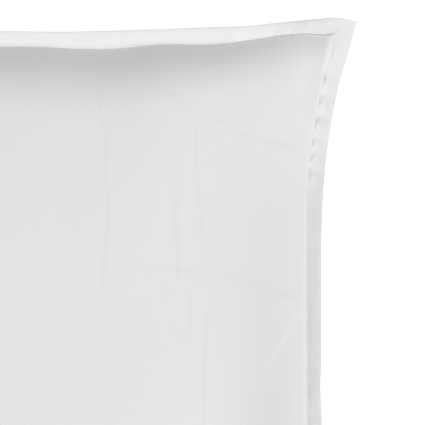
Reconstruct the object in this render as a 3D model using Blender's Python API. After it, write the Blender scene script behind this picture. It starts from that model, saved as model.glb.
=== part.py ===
"""A bed pillowcase with a narrow flat flange, filled by its pillow and lying on its back.

Units are metres and +Z is up. The face lies towards +Z, the long sides run along Y, and the
origin is on the flat of the back, under the middle. Three pieces, each its own object:

    case_body      the front and back panels sewn edge to edge and filled: one crowned solid
    flange         the flat border outside the stitch line, two layers of cloth
    closure_flap   the panel that the pillow is slid in past, tucked under the back's hem

Every point is found from (u, v), which run from -1 to 1 across and along the case, so that
u = 1 is the right seam and v = 1 the seam at the head.
"""

import math
from collections import namedtuple

import bmesh
import bpy
from mathutils import Vector

# The seam, where the stitch line runs. The case is cut 500 x 750 mm and draws in as it fills.
CASE_HALF_WIDTH = 0.248  # to the stitched corners
CASE_HALF_LENGTH = 0.375
FLARE_POWER = 2.2  # how sharply a side turns out towards its corners
RAMP_POWER = 2.6  # how soon a slope eases off

# How far the filling lifts the cloth. It rises gently from the two ends and by the corners,
# where the front and the back lie close. Along the long sides it stands up as a short wall.
SEAM_HEIGHT = 0.040  # of the stitch line above the floor, at the middle of a side
END_DROOP = 0.009  # how much lower the stitch line runs at the two ends
DROOP_POWER = 5.0  # how late the droop sets in towards an end
RISE = 0.019  # of the front from the stitch line to the top of its shoulder
BACK_RISE = 0.026
LEAST_RISE = 0.0046  # by a corner
RISE_FROM_SIDE = 0.280  # over which the rise grows along an end
RISE_STRAIGHT = 0.3  # the share of it over which it grows evenly
RISE_START = 0.060  # how far from an end the rise begins to grow along a side
RISE_RUN = 0.220  # and over how far it comes to its full height
STEEPNESS = 0.68  # of an end, at the seam
SOFTER_CORNER = 0.50  # how much less steep it is at a corner
SOFTER_TO = 0.110  # and how far from the long side that ends
END_STRAIGHT = 0.08  # the share of an end's slope that is straight
EDGE_ROUNDNESS = 0.3  # the radius of a wall's turn onto the face, beside the wall's height
WALL_FADE = 0.050  # over which the walls fade out towards an end
CROWN = 0.017  # the slow rise from there to the middle
CROWN_POWER = 2.2
BACK_CROWN = 0.024  # more than fits above the floor, so that the back lies flat

# The cloth.
RIM_THICKNESS = 0.0030  # the sewn edge of the filled body
FLANGE_THICKNESS = 0.0022
FLAP_THICKNESS = 0.0012
HEM_STEP = 0.0010  # how far the back's hem stands over the flap
HEM_STEP_REACH = 0.040  # over which the flap settles back to the floor
HEM_LINE = -0.215  # where the hemmed edge crosses the back, along the flat cloth
GAP = 0.0005  # between neighbouring pieces
SEAM_GAP = 0.0007  # from the filled body to the flange, measured in plan

# How finely the faces are cut.
COLUMNS = 40
ROWS = 44
FLANGE_ROWS = 3
EDGE_CROWDING = 0.8  # 0 spaces the cuts evenly, 1 crowds them at the seam
PROBE = 1e-4  # the step in u and v that finds a face's slope
WELD = 1e-6  # points closer than this are one
CREASE_ANGLE = math.radians(50)  # a sharper edge than this is shaded as an edge
SIDE_POWER = 4  # how soon a side's own heights give way inside the case
CURL_POWER = 12  # and its own curls

# An outline has one row for each side. middle is its distance from the centre, and flare how
# much further out it stands at its low and its high end, over the reach from that corner. dip
# is how far the cloth is pulled back at the very corner, over its width. Its waves are soft
# stretches of a side, and offset is how far each is pushed out.
Side = namedtuple(
    "Side",
    "middle flare_low reach_low flare_high reach_high dip_low dip_high dip_width",
)
Wave = namedtuple("Wave", "side place width offset")
Outline = namedtuple("Outline", "sides waves")
SEAM = Outline(
    {
        "right": Side(0.2222, 0.0250, 0.160, 0.0264, 0.160, -0.0020, -0.0030, 0.010),
        "left": Side(0.2225, 0.0220, 0.160, 0.0226, 0.150, 0.0, 0.0, 0.010),
        "head": Side(0.3650, 0.0130, 0.190, 0.0143, 0.197, -0.0050, -0.0042, 0.012),
        "foot": Side(0.3640, 0.0140, 0.200, 0.0130, 0.180, -0.0042, -0.0038, 0.010),
    },
    [
        Wave("head", 0.050, 0.035, -0.0020),
        Wave("head", 0.103, 0.022, 0.0012),
        Wave("head", 0.150, 0.020, -0.0010),
        Wave("head", 0.205, 0.014, 0.0011),
        Wave("head", 0.235, 0.008, -0.001),
        Wave("head", -0.120, 0.050, 0.0013),
        Wave("right", -0.060, 0.060, 0.0008),
        Wave("right", -0.250, 0.040, -0.0012),
        Wave("left", 0.110, 0.070, -0.0014),
        Wave("left", -0.190, 0.050, 0.0012),
        Wave("foot", 0.060, 0.060, -0.0013),
        Wave("foot", -0.110, 0.040, 0.0012),
    ],
)
FLANGE_EDGE = Outline(
    {
        "right": Side(0.2348, 0.0288, 0.195, 0.0305, 0.189, 0.0, 0.0, 0.014),
        "left": Side(0.2348, 0.0276, 0.200, 0.0282, 0.192, 0.0, 0.0, 0.014),
        "head": Side(0.3772, 0.0130, 0.240, 0.0141, 0.246, -0.0050, -0.0048, 0.015),
        "foot": Side(0.3765, 0.0138, 0.246, 0.0128, 0.235, -0.0062, -0.0058, 0.015),
    },
    [
        Wave("head", 0.020, 0.030, -0.0005),
        Wave("head", 0.162, 0.022, -0.0012),
        Wave("head", 0.235, 0.010, 0.0013),
        Wave("head", -0.130, 0.050, 0.0008),
        Wave("right", 0.350, 0.016, 0.0013),
        Wave("right", 0.082, 0.018, -0.0008),
        Wave("right", 0.035, 0.024, 0.0010),
        Wave("right", -0.200, 0.060, 0.0010),
        Wave("left", 0.120, 0.060, -0.0012),
        Wave("left", -0.170, 0.050, 0.0010),
        Wave("foot", 0.070, 0.060, -0.0010),
        Wave("foot", -0.100, 0.045, 0.0009),
    ],
)

# How much the flange's outer edge curls up above the stitch line, and where it curls less.
FLANGE_CURL = {"right": 0.0088, "left": 0.0044, "head": 0.0036, "foot": 0.0028}
CURLS = [
    Wave("right", 0.362, 0.105, -0.0082),
    Wave("right", 0.262, 0.030, -0.0014),
    Wave("left", -0.340, 0.090, -0.0026),
    Wave("head", -0.200, 0.060, -0.0030),
    Wave("head", 0.2, 0.035, -0.0028),
    Wave("foot", 0.190, 0.070, -0.0024),
]
CURL_START = 1.6  # how much steeper the curl is at the stitch line than on the whole
DROP_SHARE = 0.5  # how much further the outer edge comes down where it curls less

# Up-and-down waves of the stitch line, by the side that they are on.
LIFTS = [
    Wave("head", -0.140, 0.050, 0.0020),
    Wave("head", 0.100, 0.060, -0.0016),
    Wave("right", 0.150, 0.070, -0.0018),
    Wave("right", -0.130, 0.060, 0.0022),
    Wave("left", 0.180, 0.060, 0.0020),
    Wave("left", -0.060, 0.080, -0.0020),
    Wave("foot", 0.120, 0.050, 0.0018),
    Wave("foot", -0.080, 0.060, -0.0014),
]

# Where the filling pushes the front up along its sides, and how far.
Swell = namedtuple("Swell", "x y half_width half_length height")
SWELLS = [
    Swell(0.220, -0.015, 0.040, 0.138, 0.0185),
    Swell(0.205, 0.170, 0.030, 0.070, 0.0025),
    Swell(-0.216, -0.040, 0.042, 0.150, 0.0080),
    Swell(0.000, -0.010, 0.250, 0.130, 0.0060),
]

# The main folds, from start to end in plan. A ridge has a height above 0, a trough below.
Fold = namedtuple("Fold", "face start end width height")
FOLDS = [
    Fold("front", (-0.170, 0.330), (-0.120, 0.230), 0.018, -0.0030),
    Fold("front", (-0.195, -0.120), (-0.110, -0.090), 0.020, -0.0028),
    Fold("front", (0.190, -0.320), (0.120, -0.220), 0.018, -0.0032),
    Fold("front", (-0.150, -0.345), (-0.095, -0.235), 0.020, -0.0034),
    Fold("front", (0.020, -0.350), (0.035, -0.200), 0.018, -0.0024),
    Fold("back", (0.215, 0.200), (0.170, 0.165), 0.016, 0.0030),
    Fold("back", (-0.215, 0.060), (-0.165, 0.040), 0.016, 0.0030),
    Fold("back", (0.060, 0.355), (0.045, 0.290), 0.018, 0.0030),
]
FOLD_EDGE = 0.004  # over which a fold fades out at the seam


def bell(distance, width):
    """1 at no distance, and near 0 from two widths away."""
    return math.exp(-((distance / width) ** 2))


def smooth(t):
    """Eases from 0 to 1 as t does."""
    t = min(max(t, 0.0), 1.0)
    return t * t * (3 - 2 * t)


def mean_slope(straight):
    """A ramp's mean slope over that of its straight start."""
    return straight + (1 - straight) / RAMP_POWER


def ramp(distance, reach, straight):
    """Rises from 0 to 1: evenly over the straight share of its reach, then ever more gently."""
    t = min(distance / reach, 1.0)
    rest = max((t - straight) / (1 - straight), 0.0)
    bend = (1 - straight) / RAMP_POWER * (1 - (1 - rest) ** RAMP_POWER)
    return (min(t, straight) + bend) / mean_slope(straight)


def side_distance(outline, side, along):
    """How far a side stands from the centre, at a place along it."""
    row = outline.sides[side]
    half = CASE_HALF_LENGTH if side in ("right", "left") else CASE_HALF_WIDTH
    distance = row.middle
    for from_corner, flare, reach, dip in (
        (half + along, row.flare_low, row.reach_low, row.dip_low),
        (half - along, row.flare_high, row.reach_high, row.dip_high),
    ):
        distance += flare * max(0.0, 1 - from_corner / reach) ** FLARE_POWER
        distance += dip * bell(from_corner, row.dip_width)
    for wave in outline.waves:
        if wave.side == side:
            distance += wave.offset * bell(along - wave.place, wave.width)
    return distance


def plan(outline, u, v):
    """The place of (u, v) seen from above, with all four sides of the outline taken in."""
    across, along = u * CASE_HALF_WIDTH, v * CASE_HALF_LENGTH
    right = side_distance(outline, "right", along)
    left = side_distance(outline, "left", along)
    head = side_distance(outline, "head", across)
    foot = side_distance(outline, "foot", across)
    x = u * (right * (1 + u) + left * (1 - u)) / 2
    y = v * (head * (1 + v) + foot * (1 - v)) / 2
    return x, y


def nearness(side, u, v):
    """0 at the middle of the case or beyond it, and 1 at a side."""
    return max({"right": u, "left": -u, "head": v, "foot": -v}[side], 0.0)


def by_side(values, u, v):
    """A value that is set for each side, mixed by how near (u, v) is to each."""
    weights = {side: nearness(side, u, v) ** SIDE_POWER for side in values}
    total = sum(weights.values()) or 1.0
    return sum(weights[side] * values[side] for side in weights) / total


def waves_at(waves, power, u, v):
    """How much the waves of all sides add at (u, v), less the further it is from a side."""
    total = 0.0
    for wave in waves:
        along = CASE_HALF_LENGTH * v if wave.side in ("right", "left") else CASE_HALF_WIDTH * u
        near = nearness(wave.side, u, v) ** power
        total += near * wave.offset * bell(along - wave.place, wave.width)
    return total


def stitch_height(u, v):
    """How high the stitch line runs. Inside the case it is the height that the seams would give."""
    droop = END_DROOP * abs(v) ** DROOP_POWER
    return SEAM_HEIGHT - droop + waves_at(LIFTS, SIDE_POWER, u, v)


def from_seam(u, v):
    """The distances to the nearer long side and to the nearer end, in metres."""
    return (1 - abs(u)) * CASE_HALF_WIDTH, (1 - abs(v)) * CASE_HALF_LENGTH


def rise_at(full, u, v):
    """How far a face rises from the stitch line: little by a corner, and full elsewhere."""
    to_side, to_end = from_seam(u, v)
    by_corner = 1 - ramp(to_side, RISE_FROM_SIDE, RISE_STRAIGHT)
    by_corner *= 1 - smooth((to_end - RISE_START) / RISE_RUN)
    return LEAST_RISE + (full - LEAST_RISE) * (1 - by_corner)


def wall(to_side, rise):
    """The profile across a long side: straight up, then round onto the face.

    Gives how far in from the seam a place of the cloth lies, and how far up.
    """
    radius = EDGE_ROUNDNESS * rise
    upright = rise - radius
    quarter = math.pi / 2
    turn = quarter - min(max((to_side - upright) / radius, 0.0), quarter)
    inwards = radius * (1 - math.sin(turn))
    inwards += max(to_side - upright - radius * quarter, 0.0)
    return inwards, min(to_side, upright) + radius * math.cos(turn)


def shoulder(full, u, v):
    """How far a face has risen from the stitch line at (u, v), in metres."""
    to_side, to_end = from_seam(u, v)
    rise = rise_at(full, u, v)
    steepness = STEEPNESS * (1 - SOFTER_CORNER * (1 - smooth(to_side / SOFTER_TO)))
    reach = rise / (mean_slope(END_STRAIGHT) * steepness)
    return wall(to_side, rise)[1] * ramp(to_end, reach, END_STRAIGHT)


def crown(u, v):
    """0 at the seam and 1 at the middle."""
    return (1 - abs(u) ** CROWN_POWER) * (1 - abs(v) ** CROWN_POWER)


def face_plan(full, u, v):
    """The place of (u, v) on a face, seen from above. Its walls stand close over the seam."""
    x, y = plan(SEAM, u, v)
    to_side, to_end = from_seam(u, v)
    inwards, _ = wall(to_side, rise_at(full, u, v))
    return x + u * smooth(to_end / WALL_FADE) * (to_side - inwards), y


def folds(face, x, y):
    """How much the folds on a face lift it at a place in plan."""
    here = Vector((x, y))
    lift = 0.0
    for fold in FOLDS:
        if fold.face != face:
            continue
        start, end = Vector(fold.start), Vector(fold.end)
        run = end - start
        share = min(max((here - start).dot(run) / run.length_squared, 0), 1)
        lift += fold.height * bell((here - start - share * run).length, fold.width)
    return lift


def swells(x, y):
    """How much the filling pushes the front up at a place in plan."""
    lift = 0.0
    for swell in SWELLS:
        across = bell(x - swell.x, swell.half_width)
        lift += swell.height * across * bell(y - swell.y, swell.half_length)
    return lift


def front_point(u, v):
    """A point of the filled front panel."""
    x, y = face_plan(RISE, u, v)
    inside = smooth(min(from_seam(u, v)) / FOLD_EDGE)
    z = stitch_height(u, v) + RIM_THICKNESS / 2 + shoulder(RISE, u, v) + CROWN * crown(u, v)
    return Vector((x, y, z + inside * (folds("front", x, y) + swells(x, y))))


def back_point(u, v):
    """A point of the back panel, which lies flat where the floor stops it."""
    x, y = face_plan(BACK_RISE, u, v)
    inside = smooth(min(from_seam(u, v)) / FOLD_EDGE)
    drop = shoulder(BACK_RISE, u, v) + BACK_CROWN * crown(u, v)
    z = stitch_height(u, v) - RIM_THICKNESS / 2 - drop + inside * folds("back", x, y)
    return Vector((x, y, max(z, 0.0)))


def lifted_back_point(u, v, lift):
    """A point over the back panel, on its inner side, at right angles to it."""
    u_in = min(max(u, PROBE - 1), 1 - PROBE)
    v_in = min(max(v, PROBE - 1), 1 - PROBE)
    across = back_point(u_in + PROBE, v_in) - back_point(u_in - PROBE, v_in)
    along = back_point(u_in, v_in + PROBE) - back_point(u_in, v_in - PROBE)
    return back_point(u, v) + lift * across.cross(along).normalized()


def flap_lift(v):
    """How far the flap lies inside the back panel's surface."""
    from_hem = HEM_LINE - v * CASE_HALF_LENGTH
    return HEM_STEP * (1 - smooth(from_hem / HEM_STEP_REACH))


def cuts(count):
    """The values of u or v at which a face is cut, closer together towards the seams."""
    values = []
    for index in range(count + 1):
        even = 2 * index / count - 1
        crowded = math.sin(even * math.pi / 2)
        values.append(EDGE_CROWDING * crowded + (1 - EDGE_CROWDING) * even)
    return values


def rows_with_hem():
    """The cuts along the case, with a close pair at the hem for the step in the back."""
    hem = HEM_LINE / CASE_HALF_LENGTH
    inner = hem - GAP / CASE_HALF_LENGTH
    rows = cuts(ROWS)
    nearest = min(rows, key=lambda v: abs(v - hem))
    return sorted([v for v in rows if v != nearest] + [inner, hem])


def finish(bm, name, colour):
    """Makes an object of the mesh, smooth shaded, with its own cotton material."""
    bmesh.ops.triangulate(bm, faces=bm.faces[:], quad_method="SHORT_EDGE")
    mesh = bpy.data.meshes.new(name)
    bm.to_mesh(mesh)
    bm.free()
    mesh.shade_smooth()
    mesh.set_sharp_from_angle(angle=CREASE_ANGLE)
    cotton = bpy.data.materials.new(name + "_cotton")
    cotton.use_nodes = True
    shader = cotton.node_tree.nodes["Principled BSDF"]
    shader.inputs["Base Color"].default_value = (*colour, 1.0)
    shader.inputs["Roughness"].default_value = 0.85
    shader.inputs["Metallic"].default_value = 0.0
    mesh.materials.append(cotton)
    piece = bpy.data.objects.new(name, mesh)
    bpy.data.collections["pillowcase"].objects.link(piece)
    return piece


def thicken(bm, height):
    """Makes the open sheet in bm a closed block, by raising a copy of it on a rim."""
    upper = bmesh.ops.extrude_face_region(bm, geom=bm.faces[:])["geom"]
    raised = [item for item in upper if isinstance(item, bmesh.types.BMVert)]
    bmesh.ops.translate(bm, verts=raised, vec=(0, 0, height))
    bmesh.ops.recalc_face_normals(bm, faces=bm.faces[:])


def cut_block(columns, rows):
    """A block from z = 0 to 1, with its top and bottom cut at the columns and rows."""
    bm = bmesh.new()
    bmesh.ops.create_grid(
        bm, x_segments=len(columns) - 1, y_segments=len(rows) - 1, size=1.0
    )
    thicken(bm, 1.0)
    return bm


def nearest_cut(values, place):
    """The cut that an evenly spaced place from -1 to 1 stands for."""
    return values[round((place + 1) / 2 * (len(values) - 1))]


def make_body():
    """The filled body: a block whose top takes the front's form and whose bottom the back's."""
    columns, rows = cuts(COLUMNS), rows_with_hem()
    pocket_end = HEM_LINE / CASE_HALF_LENGTH - GAP / CASE_HALF_LENGTH
    bm = cut_block(columns, rows)
    for vert in bm.verts:
        u = nearest_cut(columns, vert.co.x)
        v = nearest_cut(rows, vert.co.y)
        if vert.co.z > 0:
            vert.co = front_point(u, v)
        elif v > pocket_end:
            vert.co = back_point(u, v)
        else:
            vert.co = lifted_back_point(u, v, flap_lift(v) + FLAP_THICKNESS + GAP)
    return finish(bm, "case_body", (0.78, 0.78, 0.78))


def make_flap():
    """The closure flap: a thin block on the back's own form, from the foot to under the hem."""
    columns = cuts(COLUMNS)
    rows = [v for v in rows_with_hem() if v < HEM_LINE / CASE_HALF_LENGTH]
    rows[-1] -= GAP / CASE_HALF_LENGTH
    bm = cut_block(columns, rows)
    for vert in bm.verts:
        u = nearest_cut(columns, vert.co.x)
        v = nearest_cut(rows, vert.co.y)
        thickness = FLAP_THICKNESS if vert.co.z > 0 else 0.0
        vert.co = lifted_back_point(u, v, flap_lift(v) + thickness)
    return finish(bm, "closure_flap", (0.76, 0.76, 0.76))


def round_the_seam():
    """(u, v) all the way round the seam, through the same cuts as the body."""
    columns, rows = cuts(COLUMNS), rows_with_hem()
    foot = [(u, -1.0) for u in columns[:-1]]
    right = [(1.0, v) for v in rows[:-1]]
    head = [(u, 1.0) for u in reversed(columns[1:])]
    left = [(-1.0, v) for v in reversed(rows[1:])]
    return foot + right + head + left


def outwards(u, v):
    """Which way is out, across and along, for (u, v) on the seam."""
    return Vector((math.copysign(abs(u) == 1, u), math.copysign(abs(v) == 1, v)))


def flange_point(u, v, share):
    """A point under the flange, from the stitch line (share 0) to its outer edge (1)."""
    inner = Vector(plan(SEAM, u, v)) + SEAM_GAP * outwards(u, v)
    outer = Vector(plan(FLANGE_EDGE, u, v))
    x, y = inner.lerp(outer, share)
    less = waves_at(CURLS, CURL_POWER, u, v)
    curl = by_side(FLANGE_CURL, u, v) + less
    lift = share * (CURL_START - (CURL_START - 1) * share) * curl
    lift += DROP_SHARE * share**2 * less
    return Vector((x, y, stitch_height(u, v) + lift - FLANGE_THICKNESS / 2))


def make_flange():
    """The flange: a band wrapped round the seam, closed on itself, then made thick upwards."""
    ring = round_the_seam()
    bm = bmesh.new()
    bmesh.ops.create_grid(bm, x_segments=len(ring), y_segments=FLANGE_ROWS, size=1.0)
    for vert in bm.verts:
        place = round((vert.co.x + 1) / 2 * len(ring)) % len(ring)
        share = (1 - vert.co.y) / 2
        vert.co = flange_point(*ring[place], share)
    bmesh.ops.remove_doubles(bm, verts=bm.verts[:], dist=WELD)
    thicken(bm, FLANGE_THICKNESS)
    return finish(bm, "flange", (0.85, 0.85, 0.85))


def clear_scene():
    """Starts from an empty scene, with a collection for the pillowcase."""
    for obj in list(bpy.data.objects):
        bpy.data.objects.remove(obj, do_unlink=True)
    collection = bpy.data.collections.new("pillowcase")
    bpy.context.scene.collection.children.link(collection)


clear_scene()
make_body()
make_flap()
make_flange()
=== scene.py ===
"""The looks of a bed pillowcase with a narrow flat flange, filled by its pillow and on its back.

Units are metres. The face lies towards +Z, the long sides run along Y, and the camera looks
straight down on the corner where the head meets the right side. Every point of the cloth is
found from (u, v), which run from -1 to 1 across and along the case, so that u = 1 is the right
seam and v = 1 the seam at the head.
"""

import logging
import math
from dataclasses import dataclass, field
from enum import Enum

import bmesh
import bpy
import numpy as np
from mathutils import Matrix, Vector

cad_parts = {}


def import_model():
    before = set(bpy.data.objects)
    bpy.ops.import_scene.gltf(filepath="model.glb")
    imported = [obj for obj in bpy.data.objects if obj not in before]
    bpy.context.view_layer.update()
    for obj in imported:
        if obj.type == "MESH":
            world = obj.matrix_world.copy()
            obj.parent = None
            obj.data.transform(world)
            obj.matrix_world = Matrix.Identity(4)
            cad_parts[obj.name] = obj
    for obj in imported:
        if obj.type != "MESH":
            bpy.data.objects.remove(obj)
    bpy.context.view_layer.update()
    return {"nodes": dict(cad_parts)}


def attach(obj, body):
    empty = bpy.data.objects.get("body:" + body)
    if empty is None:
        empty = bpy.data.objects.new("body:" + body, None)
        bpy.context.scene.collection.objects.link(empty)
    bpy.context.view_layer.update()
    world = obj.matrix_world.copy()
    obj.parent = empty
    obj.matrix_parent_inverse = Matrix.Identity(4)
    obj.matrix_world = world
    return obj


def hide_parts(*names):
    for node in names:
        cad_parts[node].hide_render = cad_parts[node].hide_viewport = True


LOG = logging.getLogger("pillowcase")
BODY = "root"
CLOTH_UV = "cloth"  # the piece's own map, in metres of flat cloth
PROBE = 1e-4  # the step in u and v that finds the cloth's slope
WELD = 1e-6  # points closer than this are one
SAME_ROW = 1e-5  # shares along that are closer than this are one row
ROW_DIGITS = 7  # to which the rows' shares along are told apart
NEAR_ZERO = 1e-9  # keeps a division from meeting zero
HALFWAY_DOWN = -0.5  # in a block, which runs from z = -1 to 0
DIAGONAL_BANDS = 10  # what a wave texture turns by, in radians, for each unit along an axis

Array = np.ndarray
Line = tuple[tuple[float, float], ...]


# ---- Small sums that the cloth's form is made of ----


def bell(distance: Array, width: float) -> Array:
    """1 at no distance, and near 0 from two widths away."""
    return np.exp(-((distance / width) ** 2))


def smooth(t: Array) -> Array:
    """Eases from 0 to 1 as t does."""
    t = np.clip(t, 0.0, 1.0)
    return t * t * (3 - 2 * t)


RAMP_POWER = 2.6  # how soon a ramp eases off
STEEPEST = 0.434  # a ramp's mean slope over that of its straight start


def ramp(distance: Array, reach: Array, straight: float = 0.08) -> Array:
    """Rises from 0 to 1: straight at first, then ever more gently up to the reach.

    Args:
        distance: How far from the start.
        reach: Where the rise ends.
        straight: The share of the reach that is straight.

    Returns:
        The share of the rise.
    """
    t = np.clip(distance / reach, 0.0, 1.0)
    bend = (1 - straight) / RAMP_POWER
    rest = np.clip((t - straight) / (1 - straight), 0.0, 1.0)
    eased = bend * (1 - (1 - rest) ** RAMP_POWER)
    return (np.minimum(t, straight) + eased) / (straight + bend)


def beside_line(line: Line, x: Array, y: Array) -> tuple[Array, Array]:
    """How places lie beside a line from place to place.

    Args:
        line: The line's own places, in metres.
        x: Places across.
        y: Places along.

    Returns:
        How far each is from the line, and 1 to the left of it or -1 to the right.
    """
    nearest = np.full_like(x, np.inf)
    side = np.ones_like(x)
    for (x0, y0), (x1, y1) in zip(line, line[1:]):
        run_x, run_y = x1 - x0, y1 - y0
        share = ((x - x0) * run_x + (y - y0) * run_y) / (run_x**2 + run_y**2)
        share = np.clip(share, 0.0, 1.0)
        off_x, off_y = x - x0 - share * run_x, y - y0 - share * run_y
        away = np.hypot(off_x, off_y)
        side = np.where(away < nearest, np.sign(run_x * off_y - run_y * off_x), side)
        nearest = np.minimum(nearest, away)
    return nearest, side


def linear(code: str) -> tuple[float, float, float, float]:
    """Turns an sRGB colour into the linear one that shaders take.

    Args:
        code: The colour as #RRGGBB.

    Returns:
        Red, green, blue and an alpha of 1.
    """
    parts = [int(code[i : i + 2], 16) / 255 for i in (1, 3, 5)]
    red, green, blue = (
        c / 12.92 if c <= 0.04045 else ((c + 0.055) / 1.055) ** 2.4 for c in parts
    )
    return red, green, blue, 1.0


# ---- The outline ----


class Edge(Enum):
    """An edge of the case: the axis that it lies across, and on which side of the middle."""

    RIGHT = (0, 1)
    LEFT = (0, -1)
    HEAD = (1, 1)
    FOOT = (1, -1)

    def nearness(self, u: Array, v: Array) -> Array:
        """0 at the middle of the case or beyond it, and 1 at this edge."""
        axis, sign = self.value
        return np.maximum(sign * (u, v)[axis], 0.0)


class Face(Enum):
    """A side of the filled case."""

    FRONT = 1
    BACK = -1


@dataclass(frozen=True)
class Side:
    """How one edge runs: its distance from the middle, and how it turns out at its corners."""

    middle: float
    flare_low: float
    reach_low: float
    flare_high: float
    reach_high: float
    dip_low: float
    dip_high: float
    dip_width: float


@dataclass(frozen=True)
class Wave:
    """A soft stretch of an edge, pushed out or up."""

    edge: Edge
    place: float
    width: float
    offset: float


@dataclass(frozen=True)
class Outline:
    """A closed outline of the case, with a row for each edge."""

    sides: dict[Edge, Side]
    waves: tuple[Wave, ...]
    flare_power: float = 2.2

    def distance(self, edge: Edge, along: Array, half: float) -> Array:
        """How far an edge stands from the middle.

        Args:
            edge: The edge.
            along: Places along it, in metres.
            half: Half its length.

        Returns:
            The distance at each place.
        """
        row = self.sides[edge]
        distance = np.full_like(along, row.middle)
        for from_corner, flare, reach, dip in (
            (half + along, row.flare_low, row.reach_low, row.dip_low),
            (half - along, row.flare_high, row.reach_high, row.dip_high),
        ):
            turned_out = np.maximum(0.0, 1 - from_corner / reach) ** self.flare_power
            distance += flare * turned_out + dip * bell(from_corner, row.dip_width)
        for wave in self.waves:
            if wave.edge is edge:
                distance += wave.offset * bell(along - wave.place, wave.width)
        return distance


# The stitch line, seen from above.
SEAM = Outline(
    {
        Edge.RIGHT: Side(0.2222, 0.0250, 0.160, 0.0264, 0.160, -0.0020, -0.0030, 0.010),
        Edge.LEFT: Side(0.2225, 0.0220, 0.160, 0.0226, 0.150, 0.0, 0.0, 0.010),
        Edge.HEAD: Side(0.3650, 0.0130, 0.190, 0.0143, 0.197, -0.0050, -0.0042, 0.012),
        Edge.FOOT: Side(0.3640, 0.0140, 0.200, 0.0130, 0.180, -0.0042, -0.0038, 0.010),
    },
    (
        Wave(Edge.HEAD, 0.050, 0.035, -0.0020),
        Wave(Edge.HEAD, 0.103, 0.022, 0.0012),
        Wave(Edge.HEAD, 0.150, 0.020, -0.0010),
        Wave(Edge.HEAD, 0.205, 0.014, 0.0011),
        Wave(Edge.HEAD, 0.235, 0.008, -0.0010),
        Wave(Edge.HEAD, -0.120, 0.050, 0.0013),
        Wave(Edge.RIGHT, -0.060, 0.060, 0.0008),
        Wave(Edge.RIGHT, -0.250, 0.040, -0.0012),
        Wave(Edge.LEFT, 0.110, 0.070, -0.0014),
        Wave(Edge.LEFT, -0.190, 0.050, 0.0012),
        Wave(Edge.FOOT, 0.060, 0.060, -0.0013),
        Wave(Edge.FOOT, -0.110, 0.040, 0.0012),
    ),
)
# The flange's outer edge.
FLANGE_EDGE = Outline(
    {
        Edge.RIGHT: Side(0.2348, 0.0288, 0.195, 0.0305, 0.189, 0.0, 0.0, 0.014),
        Edge.LEFT: Side(0.2348, 0.0276, 0.200, 0.0282, 0.192, 0.0, 0.0, 0.014),
        Edge.HEAD: Side(0.3772, 0.0130, 0.240, 0.0141, 0.246, -0.0050, -0.0048, 0.015),
        Edge.FOOT: Side(0.3765, 0.0138, 0.246, 0.0128, 0.235, -0.0062, -0.0058, 0.015),
    },
    (
        Wave(Edge.HEAD, 0.020, 0.030, -0.0005),
        Wave(Edge.HEAD, 0.162, 0.022, -0.0012),
        Wave(Edge.HEAD, 0.235, 0.010, 0.0013),
        Wave(Edge.HEAD, -0.130, 0.050, 0.0008),
        Wave(Edge.RIGHT, 0.350, 0.016, 0.0013),
        Wave(Edge.RIGHT, 0.082, 0.018, -0.0008),
        Wave(Edge.RIGHT, 0.035, 0.024, 0.0010),
        Wave(Edge.RIGHT, -0.200, 0.060, 0.0010),
        Wave(Edge.LEFT, 0.120, 0.060, -0.0012),
        Wave(Edge.LEFT, -0.170, 0.050, 0.0010),
        Wave(Edge.FOOT, 0.070, 0.060, -0.0010),
        Wave(Edge.FOOT, -0.100, 0.045, 0.0009),
    ),
)
# How much higher or lower the stitch line runs along each edge.
LIFTS = (
    Wave(Edge.HEAD, -0.140, 0.050, 0.0020),
    Wave(Edge.HEAD, 0.100, 0.060, -0.0016),
    Wave(Edge.RIGHT, 0.150, 0.070, -0.0018),
    Wave(Edge.RIGHT, -0.130, 0.060, 0.0022),
    Wave(Edge.LEFT, 0.180, 0.060, 0.0020),
    Wave(Edge.LEFT, -0.060, 0.080, -0.0020),
    Wave(Edge.FOOT, 0.120, 0.050, 0.0018),
    Wave(Edge.FOOT, -0.080, 0.060, -0.0014),
)
# How much more or less the flange curls up there.
CURLS = (
    Wave(Edge.RIGHT, 0.362, 0.105, -0.0082),
    Wave(Edge.RIGHT, 0.262, 0.030, -0.0014),
    Wave(Edge.LEFT, -0.340, 0.090, -0.0026),
    Wave(Edge.HEAD, -0.200, 0.060, -0.0030),
    Wave(Edge.HEAD, 0.200, 0.035, -0.0028),
    Wave(Edge.FOOT, 0.190, 0.070, -0.0024),
)


# ---- Folds, creases and puckers ----


@dataclass(frozen=True)
class Fold:
    """A soft ridge (height above 0) or trough along a line of places in plan."""

    face: Face
    line: Line
    width: float
    height: float

    def lift(self, x: Array, y: Array) -> Array:
        """How far the fold lifts the cloth at places in plan."""
        return self.height * bell(beside_line(self.line, x, y)[0], self.width)


@dataclass(frozen=True)
class Pucker:
    """A short fold that the stitching draws up across an edge of the case."""

    edge: Edge
    place: float
    width: float
    height: float
    reach: float  # how far it runs into the face
    slant: float = 0.0  # how much it moves along the edge for each metre inwards

    def lift(self, along: Array, inwards: Array, outwards_reach: float) -> Array:
        """How far the pucker lifts the cloth.

        Args:
            along: Places along the edge, in metres.
            inwards: Distances into the face, below 0 on the flange.
            outwards_reach: How far it runs out over the flange.

        Returns:
            The lift at each place.
        """
        fade = np.exp(-np.maximum(inwards, 0) / self.reach)
        fade *= bell(np.minimum(inwards, 0), outwards_reach)
        off_line = along - self.place - self.slant * inwards
        return self.height * fade * bell(off_line, self.width)


@dataclass(frozen=True)
class Swell:
    """A soft mound (height above 0) or dent of the front, round a place in plan."""

    x: float
    y: float
    half_width: float
    half_length: float
    height: float

    def lift(self, x: Array, y: Array) -> Array:
        """How far the swell lifts the cloth at places in plan."""
        rise = bell(x - self.x, self.half_width) * bell(y - self.y, self.half_length)
        return self.height * rise


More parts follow.
